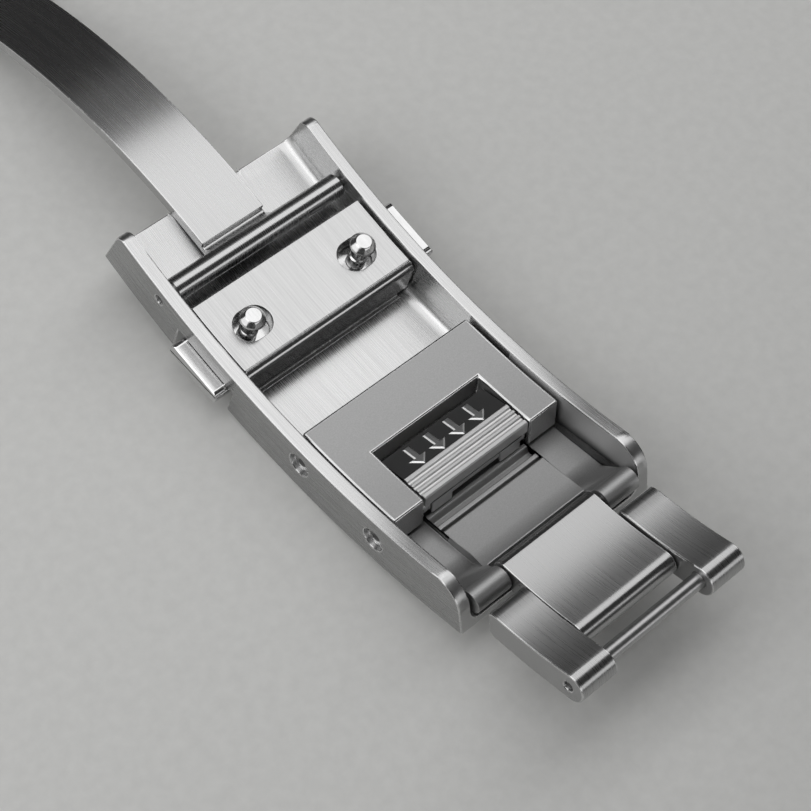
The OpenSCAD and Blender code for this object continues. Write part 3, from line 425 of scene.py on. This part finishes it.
bmesh.ops.inset_region(shape, faces=upper, thickness=SIGN_SIDE * MM, depth=SIGN_RISE * MM,
                       use_even_offset=True)
arrow_place = Matrix((Vector((1, 0, 0)), ramp_down, ramp_out)).transposed().to_4x4()
shape.transform(Matrix.Translation(ramp_top + ramp_down * SIGN_DOWN * MM) @ arrow_place)
arrow = bpy.data.meshes.new("press_sign")
shape.to_mesh(arrow)
shape.free()
press_sign = bpy.data.objects.new("press_sign", arrow)
bpy.context.scene.collection.objects.link(press_sign)
row = bpy.data.node_groups.new("sign_row", "GeometryNodeTree")
row.interface.new_socket("Arrow", in_out="INPUT", socket_type="NodeSocketGeometry")
count_socket = row.interface.new_socket("Count", in_out="INPUT", socket_type="NodeSocketInt")
pitch_socket = row.interface.new_socket("Pitch", in_out="INPUT", socket_type="NodeSocketFloat")
row.interface.new_socket("Row", in_out="OUTPUT", socket_type="NodeSocketGeometry")
given = add(row, "NodeGroupInput")
step = add(row, "ShaderNodeCombineXYZ", {"X": given.outputs["Pitch"]})
gaps = add(row, "ShaderNodeMath", {0: given.outputs["Count"], 1: 1.0}, operation="SUBTRACT")
back_off = add(row, "ShaderNodeMath", {0: gaps.outputs[0], 1: -0.5}, operation="MULTIPLY")
start = add(row, "ShaderNodeVectorMath", {0: step.outputs[0], "Scale": back_off.outputs[0]},
            operation="SCALE")
points = add(row, "GeometryNodeMeshLine", {
    "Count": given.outputs["Count"], "Start Location": start.outputs[0], "Offset": step.outputs[0]})
arrows = add(row, "GeometryNodeInstanceOnPoints", {
    "Points": points.outputs[0], "Instance": given.outputs["Arrow"]})
real = add(row, "GeometryNodeRealizeInstances", {0: arrows.outputs[0]})
finish = add(row, "GeometryNodeSetMaterial", {"Geometry": real.outputs[0], "Material": sign_steel})
add(row, "NodeGroupOutput", {"Row": finish.outputs[0]})
repeat = press_sign.modifiers.new("row", "NODES")
repeat.node_group = row
repeat[count_socket.identifier] = SIGN_COUNT
repeat[pitch_socket.identifier] = SIGN_PITCH * MM
settle(press_sign)
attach(press_sign, "button")

# The links: solid stainless steel, satin along the bracelet, with smoother eased edges. Steel pins hold them
# together.
link_steel, tree = start_material("satin_link_steel")
spot = add(tree, "ShaderNodeTexCoord")
crossing = add(tree, "ShaderNodeVectorMath", {0: spot.outputs["Normal"], 1: (0.0, 1.0, 0.0)},
               operation="CROSS_PRODUCT")
across_world = add(tree, "ShaderNodeVectorTransform", {0: crossing.outputs[0]}, vector_type="VECTOR",
                   convert_from="OBJECT", convert_to="WORLD")
# Satin lines 0.07 mm apart and 7 mm long, along the bracelet
stretch = add(tree, "ShaderNodeMapping", {
    "Vector": spot.outputs["Object"], "Scale": (14 / MM, 0.15 / MM, 0.15 / MM)})
lines = add(tree, "ShaderNodeTexNoise", {"Vector": stretch.outputs[0], "Scale": 1.0, "Detail": 3.0})
tone = add(tree, "ShaderNodeValToRGB", {0: lines.outputs[0]})
tone.color_ramp.elements[0].position, tone.color_ramp.elements[0].color = LOW, linear("#a6a6a6")
tone.color_ramp.elements[1].position, tone.color_ramp.elements[1].color = HIGH, linear("#aeaeae")
rough = add(tree, "ShaderNodeMapRange", {0: lines.outputs[0], 1: LOW, 2: HIGH, 3: 0.26, 4: 0.32})
grain = add(tree, "ShaderNodeBump", {"Height": lines.outputs[0], "Strength": 0.03, "Distance": 0.004 * MM})
surface = add(tree, "ShaderNodeBsdfPrincipled", {
    "Base Color": tone.outputs[0], "Metallic": 1.0, "Roughness": rough.outputs[0], "Anisotropic": 0.7,
    "Normal": grain.outputs[0], "Tangent": across_world.outputs[0]})
add(tree, "ShaderNodeOutputMaterial", {"Surface": surface.outputs[0]})

# How deep a link's upper face is hollowed, as a share of the link's length, and how far from its middle the
# hollow reaches, as a share of half that length
LINK_HOLLOW, HOLLOW_REACH = 0.03, 0.84
# The steps that the hollow is made in, and the least upward part of a corner's normal that counts as upper
HOLLOW_STEPS, UPPER = 12, 0.35


def follow_wrist(mesh):
    """Hollows the link's upper face a little along its length, as the links are bent to the wrist."""
    shape = bmesh.new()
    shape.from_mesh(mesh)
    ends = [min(v.co.y for v in shape.verts), max(v.co.y for v in shape.verts)]
    for step in range(1, HOLLOW_STEPS):
        cut = ends[0] + (ends[1] - ends[0]) * step / HOLLOW_STEPS
        bmesh.ops.bisect_plane(shape, geom=shape.verts[:] + shape.edges[:] + shape.faces[:],
                               plane_co=(0, cut, 0), plane_no=(0, 1, 0), dist=0.001 * MM)
    shape.normal_update()
    middle, half = (ends[0] + ends[1]) / 2, (ends[1] - ends[0]) / 2
    for vert in shape.verts:
        if vert.normal.z > UPPER:
            off = (vert.co.y - middle) / (half * HOLLOW_REACH)
            vert.co.z -= LINK_HOLLOW * (half * 2) * max(0.0, 1 - off ** 2)
    shape.to_mesh(mesh)
    shape.free()


for node, body, ease in (("centre_link", "link_centre", 0.1), ("left_side_link", "link_sides", 0.12),
                         ("right_side_link", "link_sides", 0.12)):
    dress(node, link_steel, body, ease=ease, reshape=follow_wrist, edge=edge_steel_with_painted_highlight)

# The pins and bars: hardened stainless steel wire, ground smooth and cut to length. Most are pressed into
# one of the parts that they join; the bar at the end of the latch blade lies loose in its tube.
ground_steel, tree = start_material("ground_pin_steel")
spot = add(tree, "ShaderNodeTexCoord")
# Grinding rings 0.1 mm apart along a pin, which lies across the clasp
stretch = add(tree, "ShaderNodeMapping", {
    "Vector": spot.outputs["Object"], "Scale": (10 / MM, 0.4 / MM, 0.4 / MM)})
rings = add(tree, "ShaderNodeTexNoise", {"Vector": stretch.outputs[0], "Scale": 1.0, "Detail": 2.0})
tone = add(tree, "ShaderNodeValToRGB", {0: rings.outputs[0]})
tone.color_ramp.elements[0].position, tone.color_ramp.elements[0].color = LOW, linear("#a8a8a8")
tone.color_ramp.elements[1].position, tone.color_ramp.elements[1].color = HIGH, linear("#b4b4b4")
# The ends that lie sunk in their holes are as they were sheared off: rough, and darker in colour
split = add(tree, "ShaderNodeSeparateXYZ", {0: spot.outputs["Normal"]})
facing = add(tree, "ShaderNodeMath", {0: split.outputs["X"]}, operation="ABSOLUTE")
sheared = add(tree, "ShaderNodeMapRange", {0: facing.outputs[0], 1: 0.85, 2: 0.95})
darkened_ends = add(tree, "ShaderNodeMix", {0: sheared.outputs[0], 6: tone.outputs[0]}, data_type="RGBA",
            blend_type="MULTIPLY")
darkened_ends.inputs[7].default_value = linear("#8c8c8c")
ground = add(tree, "ShaderNodeMapRange", {0: rings.outputs[0], 1: LOW, 2: HIGH, 3: 0.3, 4: 0.36})
rough = add(tree, "ShaderNodeMix", {0: sheared.outputs[0], 2: ground.outputs[0], 3: 0.55})
surface = add(tree, "ShaderNodeBsdfPrincipled", {
    "Base Color": darkened_ends.outputs[2], "Metallic": 1.0, "Roughness": rough.outputs[0]})
add(tree, "ShaderNodeOutputMaterial", {"Surface": surface.outputs[0]})
for node, body in (("cover_hinge_pin", "cover"), ("frame_pin", "cover"), ("button_pin", "cover"),
                   ("fold_pin", "first_blade"), ("blade_spring_bar", "second_blade"), ("slide_pin", "slide"),
                   ("link_pin", "link_sides"), ("bracelet_bar", "link_sides")):
    dress(node, ground_steel, body, ease=0)

# The springs: a coil of bare hard-drawn steel wire between the pushers, and a leaf bent from spring strip
# under the button. They are hidden, and are held by the parts that they push.
spring_steel, tree = start_material("bare_spring_steel")
spot = add(tree, "ShaderNodeTexCoord")
# Drawing marks 0.2 mm wide
drawn = add(tree, "ShaderNodeTexNoise", {"Vector": spot.outputs["Object"], "Scale": 5 / MM, "Detail": 2.0})
tone = add(tree, "ShaderNodeValToRGB", {0: drawn.outputs[0]})
tone.color_ramp.elements[0].position, tone.color_ramp.elements[0].color = LOW, linear("#8a8a88")
tone.color_ramp.elements[1].position, tone.color_ramp.elements[1].color = HIGH, linear("#9c9c9a")
surface = add(tree, "ShaderNodeBsdfPrincipled", {
    "Base Color": tone.outputs[0], "Metallic": 1.0, "Roughness": 0.35})
add(tree, "ShaderNodeOutputMaterial", {"Surface": surface.outputs[0]})
for node in ("pusher_spring", "button_spring"):
    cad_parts[node].data.materials.clear()
    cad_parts[node].data.materials.append(spring_steel)

# The table: a plain pale board that everything stands on, wide enough to fill the picture from all but the
# lowest views.
board = bpy.data.meshes.new("table")
reach = 3.0
corners = [(-reach, -reach, 0), (reach, -reach, 0), (reach, reach, 0), (-reach, reach, 0)]
board.from_pydata(corners, [], [(0, 1, 2, 3)])
table = bpy.data.objects.new("table", board)
bpy.context.scene.collection.objects.link(table)
pale_board, tree = start_material("pale_matt_board")
spot = add(tree, "ShaderNodeTexCoord")
# Fibres about 1 mm wide
fibre = add(tree, "ShaderNodeTexNoise", {"Vector": spot.outputs["Object"], "Scale": 0.9 / MM, "Detail": 3.0})
tone = add(tree, "ShaderNodeValToRGB", {0: fibre.outputs[0]})
tone.color_ramp.elements[0].position, tone.color_ramp.elements[0].color = LOW, linear("#d6d6d4")
tone.color_ramp.elements[1].position, tone.color_ramp.elements[1].color = HIGH, linear("#dcdcda")
surface = add(tree, "ShaderNodeBsdfPrincipled", {"Base Color": tone.outputs[0], "Roughness": 0.9})
add(tree, "ShaderNodeOutputMaterial", {"Surface": surface.outputs[0]})
board.materials.append(pale_board)


# The light: soft boxes, as on a photographer's table. A long one hangs close over the clasp, with a weak one
# behind it; one hangs higher at the left, and two stand lower, at the left and in front. The room is dark,
# and pale only to the camera.
def soft_box(name, place, aim, size, power):
    """A rectangular lamp that faces a point and that the camera doesn't see."""
    data = bpy.data.lights.new(name, "AREA")
    data.shape = "RECTANGLE"
    data.size, data.size_y = size
    data.energy = power
    lamp = bpy.data.objects.new(name, data)
    bpy.context.scene.collection.objects.link(lamp)
    facing = (Vector(place) - Vector(aim)).to_track_quat("Z", "Y").to_matrix().to_4x4()
    lamp.matrix_world = Matrix.Translation(place) @ facing
    lamp.visible_camera = False


soft_box("main_box", place=(0.05, 0.0125, 0.17), aim=(0.05, 0.0125, 0), size=(0.5, 0.135), power=0.284)
soft_box("far_box", place=(0.05, 0.115, 0.17), aim=(0.05, 0.115, 0), size=(0.5, 0.07), power=0.014)
soft_box("fill_box", place=(-0.35, -0.025, 0.25), aim=(-0.35, -0.025, 0), size=(0.3, 0.45), power=0.47)
soft_box("left_box", place=(-0.4, 0.1, 0.16), aim=(0, 0, 0), size=(0.5, 0.25), power=0.47)
soft_box("front_box", place=(0.1, -0.45, 0.14), aim=(0, -0.03, 0), size=(0.5, 0.16), power=0.3)
world = bpy.data.worlds.new("room")
world.use_nodes = True
tree = world.node_tree
tree.nodes.clear()
seen = add(tree, "ShaderNodeLightPath")
pale = add(tree, "ShaderNodeBackground", {"Color": linear("#dcdcda"), "Strength": 1.0})
dim = add(tree, "ShaderNodeBackground", {"Color": linear("#3a3a3a"), "Strength": 1.0})
both = add(tree, "ShaderNodeMixShader", {
    0: seen.outputs["Is Camera Ray"], 1: dim.outputs[0], 2: pale.outputs[0]})
add(tree, "ShaderNodeOutputWorld", {"Surface": both.outputs[0]})
bpy.context.scene.world = world
bpy.context.scene.view_settings.view_transform = "Standard"
